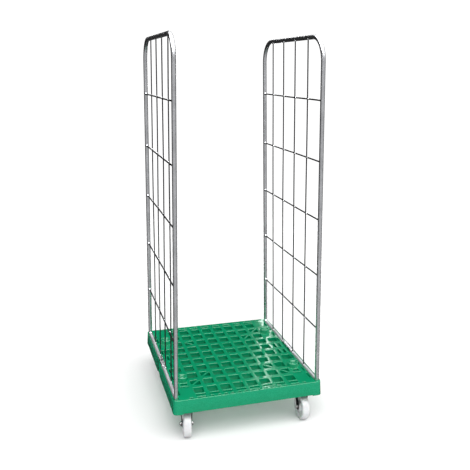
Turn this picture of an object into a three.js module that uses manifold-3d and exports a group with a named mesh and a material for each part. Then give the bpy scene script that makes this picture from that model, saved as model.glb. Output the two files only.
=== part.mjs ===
// Plant trolley: a moulded lattice deck on four castors, with two lift-out side frames of tube and wire.
// Millimetres, +Z up, origin on the floor at the centre of the trolley.
// X runs across the front, Y runs from the front (negative) to the rear, and Z is the height.

import * as THREE from 'three';
import { mergeVertices } from 'three/addons/utils/BufferGeometryUtils.js';
import Module from 'manifold-3d';

const wasm = await Module();
wasm.setup();

// ---- Driving dimensions ---------------------------------------------------------------------

// Deck moulding
const DECK_WIDTH = 724;
const DECK_LENGTH = 815;
const DECK_CORNER_RADIUS = 20;
const DECK_DRAFT = 4; // how far each side leans in from the skirt's bottom to the deck's top
const DECK_TOP = 215;
const SKIRT_BOTTOM = 149;
const CORNER_FOOT_DROP = 4; // the skirt is this much deeper near its corners
const CORNER_FOOT_LENGTH = 46;
const SKIRT_WALL = 8;
const LATTICE_DEPTH = 38;

// Lattice of cells in the deck's top
const CELL_PITCH_X = 64.8;
const CELL_PITCH_Y = 72.4;
const CELL_OPEN_X = 46;
const CELL_OPEN_Y = 47;
const CELLS_PER_SIDE = 5; // cells from the centre to each side, both ways
const DIAGONAL_RIB = 11;
const TWIN_SLOT_WIDTH = 11; // the two slots that stand for an outer cell nearest the middle
const TWIN_SLOT_SPREAD = 28;
const NARROW_CELL_LENGTH = 12; // the short cells beyond the last full row
const NARROW_CELL_STEP = 42; // from that row's centre to theirs
const EDGE_SLOT_STEP = 66; // and to the row of slots along the deck's edge
const EDGE_SLOT_WIDTH = 7;
const EDGE_SLOT_LENGTH = 14;
const EDGE_SLOT_COUNT = 6;
const LONG_SLOT_LENGTH = 42;
const SIDE_SLOT_WIDTH = 6; // the slots beside each bottom rail
const SIDE_SLOT_X = 323;
const SKIRT_NOTCH_HALF = 32; // the notch half way along each side's lower edge
const SKIRT_NOTCH_RISE = 12;

// Raised pads, each with a window and a slot between it and the deck's corner
const BOSS_X = 284;
const BOSS_Y = 217;
const BOSS_RADIUS = 30;
const BOSS_RISE = 22;
const BOSS_BEVEL = 3;
const BOSS_WINDOW = [30, 16];
const BOSS_WINDOW_STEP = 41;
const BOSS_SLOT_STEP = 66;

// Side frames
const FRAME_SPREAD = 689; // between the two frames' centre planes, at the bottom rails
const FRAME_DEPTH = 758; // between the front and rear upright centres
const LEAN_IN = { left: 0.5, right: 1.5 }; // degrees that each frame leans in, loose in its sockets
const TUBE_RADIUS = 10;
const TUBE_WALL = 1.5;
const TUBE_BEND_RADIUS = 105;
const RAIL_RADIUS = 9;
const RAIL_HEIGHT = 212;
const RUNG_GAP = 264;
const RUNG_COUNT = 5;
const RUNG_RADIUS = 3.5;
const WIRE_COUNT = 4;
const WIRE_RADIUS = 3;
const SOCKET_RADIUS = 11.6;
const SOCKET_WALL = 4;
const SOCKET_FLOOR = 150;
const TUBE_END_HEIGHT = 152;

// Locking clips, which straddle the bottom rails
const CLIP_LENGTH = 116;
const CLIP_SHEET = 1.6;
const CLIP_INNER_LEG = 34; // below the rail's centre
const CLIP_OUTER_LEG = 8;
const CLIP_CLEARANCE = 1; // around the rail
const CLIP_BEND = 4;
const CLIP_OUTER_FACES = [9.3, 10.6]; // the short leg's two faces, from the rail's centre

// Castors
const WHEEL_RADIUS = 62.5;
const WHEEL_WIDTH = 37;
const HUB_WIDTH = 40;
const HUB_RADIUS = 20;
const WEB_WIDTH = 16; // of the thin part between hub and rim
const RIM_DEPTH = 14.5;
const TREAD_BEVEL = 7;
const AXLE_RADIUS = 5;
const BUSH_RADIUS = 9;
const CASTOR_X = 286;
const CASTOR_Y = 312;
const SWIVEL_TRAIL = 36;
const FRONT_LEFT_TURN = THREE.MathUtils.degToRad(-7);
const CASTOR_HEIGHT = 157;
const PLATE_SIZE_X = 80;
const PLATE_SIZE_Y = 105;
const PLATE_THICKNESS = 3;
const FORK_SHEET = 3;
const FORK_INSIDE = 42; // between the legs at the axle
const FORK_HEAD_WIDTH = 66;

// The least gap between pieces that touch
const GAP = 0.3;

// How far the parts of one piece run into each other where they are joined
const WELD = 1;

const ROUND_SIDES = 12;
const WIRE_SIDES = 8;
const WHEEL_SIDES = 28;

// ---- Materials ------------------------------------------------------------------------------

const zincSteel = { color: 0xb6bbc0, roughness: 0.35, metalness: 0.9 };
const greenPlastic = { color: 0x009a68, roughness: 0.35, metalness: 0.0 };
const whiteNylon = { color: 0xeef0f2, roughness: 0.4, metalness: 0.0 };
const boltSteel = { color: 0xd0d3d6, roughness: 0.3, metalness: 0.9 };

// ---- Solids ---------------------------------------------------------------------------------

function solid(geometry) {
  const bare = geometry.index ? geometry.clone() : geometry;
  bare.deleteAttribute('normal');
  bare.deleteAttribute('uv');
  const welded = mergeVertices(bare, 1e-4);
  return new wasm.Manifold(new wasm.Mesh({
    numProp: 3,
    vertProperties: Float32Array.from(welded.attributes.position.array),
    triVerts: Uint32Array.from(welded.index.array),
  }));
}

function geometryOf(manifold) {
  const mesh = manifold.getMesh();
  const geometry = new THREE.BufferGeometry();
  geometry.setAttribute('position', new THREE.BufferAttribute(mesh.vertProperties, 3));
  geometry.setIndex(new THREE.BufferAttribute(mesh.triVerts, 1));
  return geometry;
}

function joined(...geometries) {
  return geometryOf(geometries.map(solid).reduce((whole, next) => whole.add(next)));
}

function cut(geometry, ...cutters) {
  return geometryOf(cutters.map(solid).reduce((rest, next) => rest.subtract(next), solid(geometry)));
}

function piece(name, geometry, finish) {
  const mesh = new THREE.Mesh(geometry, new THREE.MeshStandardMaterial(finish));
  mesh.name = name;
  return mesh;
}

// ---- Outlines -------------------------------------------------------------------------------

function polygon(points) {
  return new THREE.Shape(points.map(([x, y]) => new THREE.Vector2(x, y)));
}

function rectangle(centreX, centreY, width, length) {
  const [halfWidth, halfLength] = [width / 2, length / 2];
  return polygon([
    [centreX - halfWidth, centreY - halfLength],
    [centreX + halfWidth, centreY - halfLength],
    [centreX + halfWidth, centreY + halfLength],
    [centreX - halfWidth, centreY + halfLength],
  ]);
}

function roundedRectangle(width, length, radius) {
  const [x, y] = [width / 2 - radius, length / 2 - radius];
  const outline = new THREE.Shape();
  outline.absarc(x, y, radius, 0, Math.PI / 2);
  outline.absarc(-x, y, radius, Math.PI / 2, Math.PI);
  outline.absarc(-x, -y, radius, Math.PI, 1.5 * Math.PI);
  outline.absarc(x, -y, radius, 1.5 * Math.PI, 2 * Math.PI);
  return outline;
}

function disc(radius, sides) {
  const corner = (_, k) => [
    radius * Math.cos((2 * Math.PI * k) / sides),
    radius * Math.sin((2 * Math.PI * k) / sides),
  ];
  return polygon(Array.from({ length: sides }, corner));
}

function ring(radius, wall, sides) {
  const outline = disc(radius, sides);
  outline.holes.push(disc(radius - wall, sides));
  return outline;
}

// One outline, or several that don't touch, raised from one height to another
function raised(outline, bottom, top, curveSegments = 4) {
  const geometry = new THREE.ExtrudeGeometry(outline, {
    depth: top - bottom,
    bevelEnabled: false,
    curveSegments,
  });
  return geometry.translate(0, 0, bottom);
}

function box(x0, x1, y0, y1, z0, z1) {
  return raised(rectangle((x0 + x1) / 2, (y0 + y1) / 2, x1 - x0, y1 - y0), z0, z1);
}

// A bar along Y, from its outline in X and Z
function barAlongY(outline, y0, y1) {
  return raised(outline, 0, y1 - y0).rotateX(Math.PI / 2).translate(0, y1, 0);
}

// A bar along X, from its outline in Y and Z
function barAlongX(outline, x0, x1) {
  return raised(outline, 0, x1 - x0).rotateX(Math.PI / 2).rotateZ(Math.PI / 2).translate(x0, 0, 0);
}

function everyQuadrant(make) {
  return [[-1, -1], [1, -1], [-1, 1], [1, 1]].flatMap(([sideX, sideY]) => make(sideX, sideY));
}

// ---- Deck -----------------------------------------------------------------------------------

const cellCentre = (pitch, index) => pitch * (index - 0.5);
const OUTER_COLUMN_X = cellCentre(CELL_PITCH_X, CELLS_PER_SIDE);
const OUTER_ROW_Y = cellCentre(CELL_PITCH_Y, CELLS_PER_SIDE);

// What fills a place in the lattice, counted from the centre: columns across, rows along the depth
function cellKind(column, row) {
  if (column === CELLS_PER_SIDE) {
    if (row === 1) return 'slots';
    return row === 2 ? 'open' : 'plate';
  }
  return column === row && row >= CELLS_PER_SIDE - 2 && row < CELLS_PER_SIDE ? 'diagonal' : 'open';
}

// The two triangles left when a rib that points to the deck's corner crosses a cell
function diagonalCell(x, y, sideX, sideY) {
  return [-1, 1].map((half) => polygon([
    [x - half * sideX * (CELL_OPEN_X / 2), y + half * sideY * (CELL_OPEN_Y / 2)],
    [x - half * sideX * (CELL_OPEN_X / 2), y - half * sideY * (CELL_OPEN_Y / 2 - DIAGONAL_RIB)],
    [x + half * sideX * (CELL_OPEN_X / 2 - DIAGONAL_RIB), y + half * sideY * (CELL_OPEN_Y / 2)],
  ]));
}

function cellOutlines(kind, x, y, sideX, sideY) {
  if (kind === 'plate') return [];
  if (kind === 'diagonal') return diagonalCell(x, y, sideX, sideY);
  if (kind === 'open') return [rectangle(x, y, CELL_OPEN_X, CELL_OPEN_Y)];
  return [-1, 1].map((side) => (
    rectangle(x + (side * TWIN_SLOT_SPREAD) / 2, y, TWIN_SLOT_WIDTH, CELL_OPEN_Y)
  ));
}

function latticeOutlines(sideX, sideY) {
  const places = [];
  for (let column = 1; column <= CELLS_PER_SIDE; column += 1) {
    for (let row = 1; row <= CELLS_PER_SIDE; row += 1) {
      const [x, y] = [cellCentre(CELL_PITCH_X, column), cellCentre(CELL_PITCH_Y, row)];
      places.push(...cellOutlines(cellKind(column, row), sideX * x, sideY * y, sideX, sideY));
    }
  }
  return places;
}

// The narrow cells, the row of slots, the openings by the boss and the slots beside the rail
function edgeOutlines(sideX, sideY) {
  const outlines = [];
  const opening = (x, y, width, length) => {
    outlines.push(rectangle(sideX * x, sideY * y, width, length));
  };
  const slotY = OUTER_ROW_Y + EDGE_SLOT_STEP;
  for (let column = 1; column < CELLS_PER_SIDE; column += 1) {
    const x = cellCentre(CELL_PITCH_X, column);
    opening(x, OUTER_ROW_Y + NARROW_CELL_STEP, CELL_OPEN_X, NARROW_CELL_LENGTH);
  }
  for (let slot = 1; slot <= EDGE_SLOT_COUNT; slot += 1) {
    opening(cellCentre(CELL_PITCH_X / 2, slot), slotY, EDGE_SLOT_LENGTH, EDGE_SLOT_WIDTH);
  }
  opening(OUTER_COLUMN_X - CELL_PITCH_X, slotY, LONG_SLOT_LENGTH, EDGE_SLOT_WIDTH);
  opening(OUTER_COLUMN_X - CELL_PITCH_X / 4, slotY, EDGE_SLOT_LENGTH, EDGE_SLOT_WIDTH);
  opening(BOSS_X, BOSS_Y + BOSS_WINDOW_STEP, ...BOSS_WINDOW);
  opening(BOSS_X, BOSS_Y + BOSS_SLOT_STEP, LONG_SLOT_LENGTH, EDGE_SLOT_WIDTH);
  for (let row = 2; row <= CELLS_PER_SIDE; row += 1) {
    opening(SIDE_SLOT_X, cellCentre(CELL_PITCH_Y, row), SIDE_SLOT_WIDTH, CELL_OPEN_Y);
  }
  return outlines;
}

// The sides lean in towards the top
function withDraft(geometry) {
  const position = geometry.attributes.position;
  for (let k = 0; k < position.count; k += 1) {
    const inward = (DECK_DRAFT * (position.getZ(k) - SKIRT_BOTTOM)) / (DECK_TOP - SKIRT_BOTTOM);
    position.setX(k, position.getX(k) * (1 - inward / (DECK_WIDTH / 2)));
    position.setY(k, position.getY(k) * (1 - inward / (DECK_LENGTH / 2)));
  }
  return geometry;
}

// The hollow under the deck, clear of the corner sockets and of the pads that the castors bolt to
function underside() {
  const ceiling = DECK_TOP - LATTICE_DEPTH;
  const low = SKIRT_BOTTOM - 2 * CORNER_FOOT_DROP;
  const [innerX, innerY] = [DECK_WIDTH / 2 - SKIRT_WALL, DECK_LENGTH / 2 - SKIRT_WALL];
  const hollow = box(-innerX, innerX, -innerY, innerY, low, ceiling);
  const reach = SOCKET_RADIUS + SOCKET_WALL;
  const sockets = everyQuadrant((sideX, sideY) => [
    rectangle((sideX * FRAME_SPREAD) / 2, (sideY * FRAME_DEPTH) / 2, 2 * reach, 2 * reach),
  ]);
  const pads = everyQuadrant((sideX, sideY) => [
    rectangle(sideX * CASTOR_X, sideY * CASTOR_Y, PLATE_SIZE_X + 4, PLATE_SIZE_Y + 8),
  ]);
  return cut(
    hollow,
    raised(sockets, low - 1, ceiling + 1),
    raised(pads, CASTOR_HEIGHT + GAP, ceiling + 1),
  );
}

// A round pad that stands on each corner of the deck
function boss(sideX, sideY) {
  const profile = [[0, -2], [BOSS_RADIUS, -2], [BOSS_RADIUS, 0], [BOSS_RADIUS - 4, BOSS_RISE - BOSS_BEVEL],
    [BOSS_RADIUS - 4 - BOSS_BEVEL, BOSS_RISE], [0, BOSS_RISE]];
  const outline = profile.map(([radius, height]) => new THREE.Vector2(radius, height));
  const dome = new THREE.LatheGeometry(outline, ROUND_SIDES).rotateX(Math.PI / 2);
  return dome.translate(sideX * BOSS_X, sideY * BOSS_Y, DECK_TOP);
}

function deckGeometry() {
  const footprint = roundedRectangle(DECK_WIDTH, DECK_LENGTH, DECK_CORNER_RADIUS);
  const shell = withDraft(raised(footprint, SKIRT_BOTTOM - CORNER_FOOT_DROP, DECK_TOP));
  const [halfWidth, halfLength] = [DECK_WIDTH / 2, DECK_LENGTH / 2];
  const low = SKIRT_BOTTOM - 2 * CORNER_FOOT_DROP;
  const betweenFeetX = halfWidth - CORNER_FOOT_LENGTH;
  const betweenFeetY = halfLength - CORNER_FOOT_LENGTH;
  const grooveHalf = RAIL_RADIUS + 2;
  const railX = FRAME_SPREAD / 2;
  const grooves = [-railX, railX].map((x) => rectangle(x, 0, 2 * grooveHalf, FRAME_DEPTH));
  const sockets = everyQuadrant((sideX, sideY) => [
    new THREE.Shape(disc(SOCKET_RADIUS, ROUND_SIDES).getPoints().map(
      (point) => point.add(new THREE.Vector2(sideX * railX, sideY * (FRAME_DEPTH / 2))),
    )),
  ]);
  const cells = everyQuadrant((sideX, sideY) => [
    ...latticeOutlines(sideX, sideY),
    ...edgeOutlines(sideX, sideY),
  ]);
  const clipSlots = [-1, 1].flatMap((side) => [
    rectangle(side * (railX - RAIL_RADIUS - 2.5), 0, 7, CLIP_LENGTH + 10),
  ]);
  const notchTop = SKIRT_BOTTOM + SKIRT_NOTCH_RISE;
  const skirtNotch = box(-halfWidth - 1, halfWidth + 1, -SKIRT_NOTCH_HALF, SKIRT_NOTCH_HALF, low, notchTop);
  return joined(
    cut(
      shell,
      box(-betweenFeetX, betweenFeetX, -halfLength - 1, halfLength + 1, low, SKIRT_BOTTOM),
      box(-halfWidth - 1, halfWidth + 1, -betweenFeetY, betweenFeetY, low, SKIRT_BOTTOM),
      underside(),
      skirtNotch,
      raised(cells, DECK_TOP - LATTICE_DEPTH - 2, DECK_TOP + 1),
      raised(grooves, RAIL_HEIGHT - RAIL_RADIUS - GAP, DECK_TOP + 1),
      raised(sockets, SOCKET_FLOOR, DECK_TOP + 1),
      raised(clipSlots, DECK_TOP - LATTICE_DEPTH - 2, DECK_TOP + 1),
    ),
    ...everyQuadrant((sideX, sideY) => [boss(sideX, sideY)]),
  );
}

// ---- Side frames, each in a frame of its own with the origin at its bottom rail --------------

// A path that an outline follows through chosen stations, each with a direction
class StationPath extends THREE.Curve {
  constructor(stations) {
    super();
    this.stations = stations;
  }

  station(u) {
    return this.stations[Math.round(u * (this.stations.length - 1))];
  }

  getPointAt(u, target = new THREE.Vector3()) {
    return target.copy(this.station(u).point);
  }

  getTangentAt(u, target = new THREE.Vector3()) {
    return target.copy(this.station(u).direction);
  }
}

const FRAME_TOP = (RUNG_COUNT + 1) * RUNG_GAP;
const BEND_STEPS = 6;

// Up the front upright, over the top and down the rear one
function frameTubeGeometry() {
  const halfDepth = FRAME_DEPTH / 2;
  const foot = TUBE_END_HEIGHT - RAIL_HEIGHT;
  const station = (y, z, angle) => ({
    point: new THREE.Vector3(0, y, z),
    direction: new THREE.Vector3(0, Math.sin(angle), Math.cos(angle)),
  });
  const bend = (centreY, startAngle) => Array.from({ length: BEND_STEPS + 1 }, (_, k) => {
    const angle = startAngle + (Math.PI / 2) * (k / BEND_STEPS);
    return station(
      centreY - TUBE_BEND_RADIUS * Math.cos(angle),
      FRAME_TOP - TUBE_BEND_RADIUS + TUBE_BEND_RADIUS * Math.sin(angle),
      angle,
    );
  });
  const stations = [
    station(-halfDepth, foot, 0),
    ...bend(-halfDepth + TUBE_BEND_RADIUS, 0),
    ...bend(halfDepth - TUBE_BEND_RADIUS, Math.PI / 2),
    station(halfDepth, foot, Math.PI),
  ];
  return new THREE.ExtrudeGeometry(ring(TUBE_RADIUS, TUBE_WALL, ROUND_SIDES), {
    steps: stations.length - 1,
    extrudePath: new StationPath(stations),
  });
}

// A saddle of bent sheet over the rail, with a long leg through the deck on the trolley's inner side
function clipGeometry(inward) {
  const inner = RAIL_RADIUS + CLIP_CLEARANCE;
  const outer = inner + CLIP_SHEET;
  const [near, far] = CLIP_OUTER_FACES;
  const crown = outer;
  const shoulder = crown - CLIP_BEND;
  const innerShoulder = shoulder - CLIP_SHEET / 2;
  const across = [
    [outer, -CLIP_INNER_LEG],
    [outer, shoulder],
    [outer - CLIP_BEND, crown],
    [CLIP_BEND - far, crown],
    [-far, shoulder],
    [-far, -CLIP_OUTER_LEG],
    [-near, -CLIP_OUTER_LEG],
    [-near, innerShoulder],
    [CLIP_BEND - inner, crown - CLIP_SHEET],
    [inner - CLIP_BEND + 1, crown - CLIP_SHEET],
    [inner, innerShoulder],
    [inner, -CLIP_INNER_LEG],
  ];
  const outline = polygon(across.map(([x, z]) => [inward * x, z]));
  return barAlongY(outline, -CLIP_LENGTH / 2, CLIP_LENGTH / 2);
}

function sideFrame(side, sideX) {
  const inward = -sideX;
  const frame = new THREE.Group();
  const reach = FRAME_DEPTH / 2 - TUBE_RADIUS - GAP;
  const wirePlane = inward * (RUNG_RADIUS + WIRE_RADIUS + GAP);
  const railLow = Math.sqrt(RAIL_RADIUS ** 2 - (RUNG_RADIUS + GAP) ** 2);
  const wireTop = FRAME_TOP - Math.sqrt(TUBE_RADIUS ** 2 - (RUNG_RADIUS + GAP) ** 2) - 2 * GAP;
  frame.add(piece(`${side}_frame_tube`, frameTubeGeometry(), zincSteel));
  const rail = barAlongY(ring(RAIL_RADIUS, TUBE_WALL, ROUND_SIDES), -reach, reach);
  frame.add(piece(`${side}_bottom_rail`, rail, zincSteel));
  for (let k = 1; k <= RUNG_COUNT; k += 1) {
    const rung = barAlongY(disc(RUNG_RADIUS, WIRE_SIDES), -reach, reach).translate(0, 0, k * RUNG_GAP);
    frame.add(piece(`${side}_rung_${k}`, rung, zincSteel));
  }
  for (let k = 1; k <= WIRE_COUNT; k += 1) {
    const y = -FRAME_DEPTH / 2 + (k * FRAME_DEPTH) / (WIRE_COUNT + 1);
    const wire = raised(disc(WIRE_RADIUS, WIRE_SIDES), railLow + GAP, wireTop);
    frame.add(piece(`${side}_wire_${k}`, wire.translate(wirePlane, y, 0), zincSteel));
  }
  frame.add(piece(`${side}_locking_clip`, clipGeometry(inward), zincSteel));
  frame.position.set((sideX * FRAME_SPREAD) / 2, 0, RAIL_HEIGHT);
  frame.rotation.y = -sideX * THREE.MathUtils.degToRad(LEAN_IN[side]);
  return frame;
}

// ---- Castors, each in a frame of its own with the origin on the floor under its plate --------

// A turned piece, whichever way round its profile is given
function lathe(points, sides) {
  const profile = points.map(([radius, along]) => new THREE.Vector2(radius, along));
  const outward = THREE.ShapeUtils.area(profile) > 0 ? profile : profile.reverse();
  return new THREE.LatheGeometry(outward, sides);
}

// A turned piece on the wheel's axle, from its radii and its places along the axle
function turnedOnAxle(points, sides) {
  return lathe(points, sides).rotateZ(-Math.PI / 2).translate(0, 0, WHEEL_RADIUS);
}

// A turned piece on the swivel's upright axis
function turnedUpright(points, sides) {
  return lathe(points, sides).rotateX(Math.PI / 2);
}

function wheelGeometry() {
  const [rim, hub, web] = [WHEEL_WIDTH / 2, HUB_WIDTH / 2, WEB_WIDTH / 2];
  const rimInside = WHEEL_RADIUS - RIM_DEPTH;
  const half = [
    [BUSH_RADIUS + GAP, hub],
    [HUB_RADIUS, hub],
    [HUB_RADIUS + 2, web],
    [rimInside - 3, web],
    [rimInside, rim],
    [WHEEL_RADIUS - TREAD_BEVEL, rim],
    [WHEEL_RADIUS, rim - TREAD_BEVEL],
  ];
  const other = half.map(([radius, along]) => [radius, -along]).reverse();
  const profile = [...half, ...other];
  return turnedOnAxle([...profile, profile[0]], WHEEL_SIDES);
}

// A tube between the fork's legs, on which the wheel turns
function bushGeometry() {
  const half = FORK_INSIDE / 2 - GAP;
  const bore = AXLE_RADIUS + GAP;
  const profile = [[bore, half], [BUSH_RADIUS, half], [BUSH_RADIUS, -half], [bore, -half], [bore, half]];
  return turnedOnAxle(profile, ROUND_SIDES);
}

const LEG_OUTSIDE = FORK_INSIDE / 2 + FORK_SHEET;
const NUT_HEIGHT = 8;
const HEX_RADIUS = 9.5;
const BOLT_HEAD_TOP = LEG_OUTSIDE + 6.8;
const HEX_CHAMFER = [1.2, 0.8]; // in radius and along the axis

function boltGeometry() {
  const tip = LEG_OUTSIDE + NUT_HEIGHT + 3;
  const [chamferIn, chamferDown] = HEX_CHAMFER;
  const shank = turnedOnAxle([[0, -tip], [AXLE_RADIUS, -tip], [AXLE_RADIUS, LEG_OUTSIDE + WELD],
    [0, LEG_OUTSIDE + WELD]], ROUND_SIDES);
  const head = turnedOnAxle([[0, LEG_OUTSIDE + GAP], [HEX_RADIUS, LEG_OUTSIDE + GAP],
    [HEX_RADIUS, BOLT_HEAD_TOP - chamferDown], [HEX_RADIUS - chamferIn, BOLT_HEAD_TOP],
    [0, BOLT_HEAD_TOP]], 6);
  return joined(shank, head);
}

function nutGeometry() {
  const [near, far] = [-LEG_OUTSIDE - GAP, -LEG_OUTSIDE - NUT_HEIGHT];
  const [chamferIn, chamferDown] = HEX_CHAMFER;
  const blank = turnedOnAxle([[0, far], [HEX_RADIUS - chamferIn, far], [HEX_RADIUS, far + chamferDown],
    [HEX_RADIUS, near], [0, near]], 6);
  const bore = AXLE_RADIUS + GAP;
  const thread = turnedOnAxle([[0, far - 1], [bore, far - 1], [bore, near + 1], [0, near + 1]],
    ROUND_SIDES);
  return cut(blank, thread);
}

const LEG_BEND = WHEEL_RADIUS + 22; // below this height the legs stand parallel
const EYE_RADIUS = 15; // of the leg's round end

// One leg: parallel and round-ended at the axle, then wider and leaning out up to the head
function forkLeg(side, axleY, headFront, headRear, top) {
  const [near, far] = side > 0 ? [FORK_INSIDE / 2, LEG_OUTSIDE] : [-LEG_OUTSIDE, -FORK_INSIDE / 2];
  const [neckFront, neckRear] = [axleY - EYE_RADIUS - 2, axleY + EYE_RADIUS + 4];
  const eye = new THREE.Shape();
  eye.moveTo(neckFront, LEG_BEND + WELD);
  eye.absarc(axleY, WHEEL_RADIUS, EYE_RADIUS, Math.PI, 2 * Math.PI);
  eye.lineTo(neckRear, LEG_BEND + WELD);
  const blade = polygon([
    [neckFront, LEG_BEND],
    [neckRear, LEG_BEND],
    [headRear, top],
    [headFront, top],
  ]);
  const leaning = barAlongX(blade, near, far);
  const spread = (FORK_HEAD_WIDTH / 2 - LEG_OUTSIDE) / (top - LEG_BEND);
  const position = leaning.attributes.position;
  for (let k = 0; k < position.count; k += 1) {
    position.setX(k, position.getX(k) + side * (position.getZ(k) - LEG_BEND) * spread);
  }
  return joined(barAlongX(eye, near, far), leaning);
}

function boltHole(axleY) {
  const across = LEG_OUTSIDE + FORK_HEAD_WIDTH;
  const hole = turnedOnAxle([[0, -across], [AXLE_RADIUS + GAP, -across], [AXLE_RADIUS + GAP, across],
    [0, across]], ROUND_SIDES);
  return hole.translate(0, axleY, 0);
}

const PLATE_BOTTOM = CASTOR_HEIGHT - PLATE_THICKNESS;
const RACE_HEIGHT = 12;
const HEAD_TOP = PLATE_BOTTOM - RACE_HEIGHT;
const HEAD_BOTTOM = HEAD_TOP - FORK_SHEET;
const KINGPIN_RADIUS = 6;
const PLATE_BOLT_RADIUS = 4.5;

function swivelForkGeometry() {
  const legs = [-1, 1].map((side) => forkLeg(side, -SWIVEL_TRAIL, -34, 26, HEAD_TOP));
  const crown = roundedRectangle(FORK_HEAD_WIDTH, 64, 14);
  return cut(
    joined(
      raised(crown, HEAD_BOTTOM, HEAD_TOP).translate(0, -4, 0),
      ...legs,
    ),
    raised(disc(KINGPIN_RADIUS + GAP, ROUND_SIDES), HEAD_BOTTOM - 1, HEAD_TOP + 1),
    boltHole(-SWIVEL_TRAIL),
  );
}

// The fixed castor's fork is bent from the same sheet as its plate
function fixedForkGeometry() {
  const legs = [-1, 1].map((side) => forkLeg(side, 0, -36, 36, CASTOR_HEIGHT - 1));
  return cut(joined(drilledPlate(), ...legs), boltHole(0));
}

function drilledPlate() {
  const plate = raised(roundedRectangle(PLATE_SIZE_X, PLATE_SIZE_Y, 8), PLATE_BOTTOM, CASTOR_HEIGHT);
  const hole = disc(PLATE_BOLT_RADIUS, 8);
  const holes = everyQuadrant((sideX, sideY) => [new THREE.Shape(hole.getPoints().map(
    (point) => point.add(new THREE.Vector2(sideX * 30, sideY * 40)),
  ))]);
  return cut(plate, raised(holes, PLATE_BOTTOM - 1, CASTOR_HEIGHT + 1));
}

function swivelPlateGeometry() {
  const hole = raised(disc(KINGPIN_RADIUS + GAP, ROUND_SIDES), PLATE_BOTTOM - 1, CASTOR_HEIGHT + 1);
  return cut(drilledPlate(), hole);
}

// The pressed ring that holds the balls between the plate and the fork
function raceGeometry() {
  const [low, high] = [HEAD_TOP + GAP, PLATE_BOTTOM - GAP];
  const bore = KINGPIN_RADIUS + GAP;
  return turnedUpright([[bore, low], [24, low], [29, low + 3], [31, high - 3], [31, high], [bore, high],
    [bore, low]], ROUND_SIDES);
}

function kingpinGeometry() {
  const low = HEAD_BOTTOM - GAP;
  return turnedUpright([[0, low - 6], [9, low - 6], [11, low - 4], [11, low], [KINGPIN_RADIUS, low],
    [KINGPIN_RADIUS, CASTOR_HEIGHT - GAP], [0, CASTOR_HEIGHT - GAP]], ROUND_SIDES);
}

// The wheel with what holds it: its axle lies this far in front of the castor's centre
function wheelSet(name, trail) {
  const set = new THREE.Group();
  set.add(piece(`${name}_wheel`, wheelGeometry(), whiteNylon));
  set.add(piece(`${name}_bush`, bushGeometry(), boltSteel));
  set.add(piece(`${name}_axle_bolt`, boltGeometry(), boltSteel));
  set.add(piece(`${name}_axle_nut`, nutGeometry(), boltSteel));
  set.position.y = -trail;
  return set;
}

function swivelCastor(name, turn) {
  const castor = new THREE.Group();
  castor.add(piece(`${name}_plate`, swivelPlateGeometry(), zincSteel));
  castor.add(piece(`${name}_ball_race`, raceGeometry(), zincSteel));
  castor.add(piece(`${name}_kingpin`, kingpinGeometry(), boltSteel));
  const turning = new THREE.Group();
  turning.add(piece(`${name}_fork`, swivelForkGeometry(), zincSteel));
  turning.add(wheelSet(name, SWIVEL_TRAIL));
  turning.rotation.z = turn;
  castor.add(turning);
  return castor;
}

function fixedCastor(name) {
  const castor = new THREE.Group();
  castor.add(piece(`${name}_fork`, fixedForkGeometry(), zincSteel));
  castor.add(wheelSet(name, 0));
  return castor;
}

// ---- Trolley --------------------------------------------------------------------------------

const trolley = new THREE.Group();
trolley.add(piece('deck', deckGeometry(), greenPlastic));
for (const [side, sideX] of [['left', -1], ['right', 1]]) {
  trolley.add(sideFrame(side, sideX));
  const front = swivelCastor(`front_${side}`, side === 'left' ? FRONT_LEFT_TURN : 0);
  front.position.set(sideX * CASTOR_X, -CASTOR_Y, 0);
  const rear = fixedCastor(`rear_${side}`);
  rear.position.set(sideX * CASTOR_X, CASTOR_Y, 0);
  trolley.add(front, rear);
}

export default trolley;
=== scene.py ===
"""The looks of a two-sided roll trolley for potted plants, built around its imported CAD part.

Pieces are modelled in millimetres, in the frame's own axes (+Z up, front towards -Y, origin on the floor
under the deck's centre), and become metres when they turn into objects.
"""

import math

import bmesh
import bpy
from mathutils import Matrix, Vector, noise


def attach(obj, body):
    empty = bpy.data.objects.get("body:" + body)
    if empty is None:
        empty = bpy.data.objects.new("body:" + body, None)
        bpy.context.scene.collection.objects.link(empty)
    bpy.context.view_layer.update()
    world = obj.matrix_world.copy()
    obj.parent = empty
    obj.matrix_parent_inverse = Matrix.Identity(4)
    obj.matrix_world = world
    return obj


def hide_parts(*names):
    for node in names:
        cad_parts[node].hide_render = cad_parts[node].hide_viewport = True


MM = 0.001
ZINC, BOLT, GREEN, NYLON = "zinc_steel", "bolt_steel", "green_plastic", "white_nylon"

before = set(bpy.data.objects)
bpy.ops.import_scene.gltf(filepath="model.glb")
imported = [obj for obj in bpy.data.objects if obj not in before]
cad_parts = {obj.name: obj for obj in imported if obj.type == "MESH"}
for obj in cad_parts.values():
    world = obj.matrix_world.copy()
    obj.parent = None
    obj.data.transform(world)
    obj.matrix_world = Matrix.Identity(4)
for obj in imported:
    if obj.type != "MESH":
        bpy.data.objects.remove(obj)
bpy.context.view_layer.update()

# ---- Driving dimensions, in millimetres ------------------------------------------------------

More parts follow.
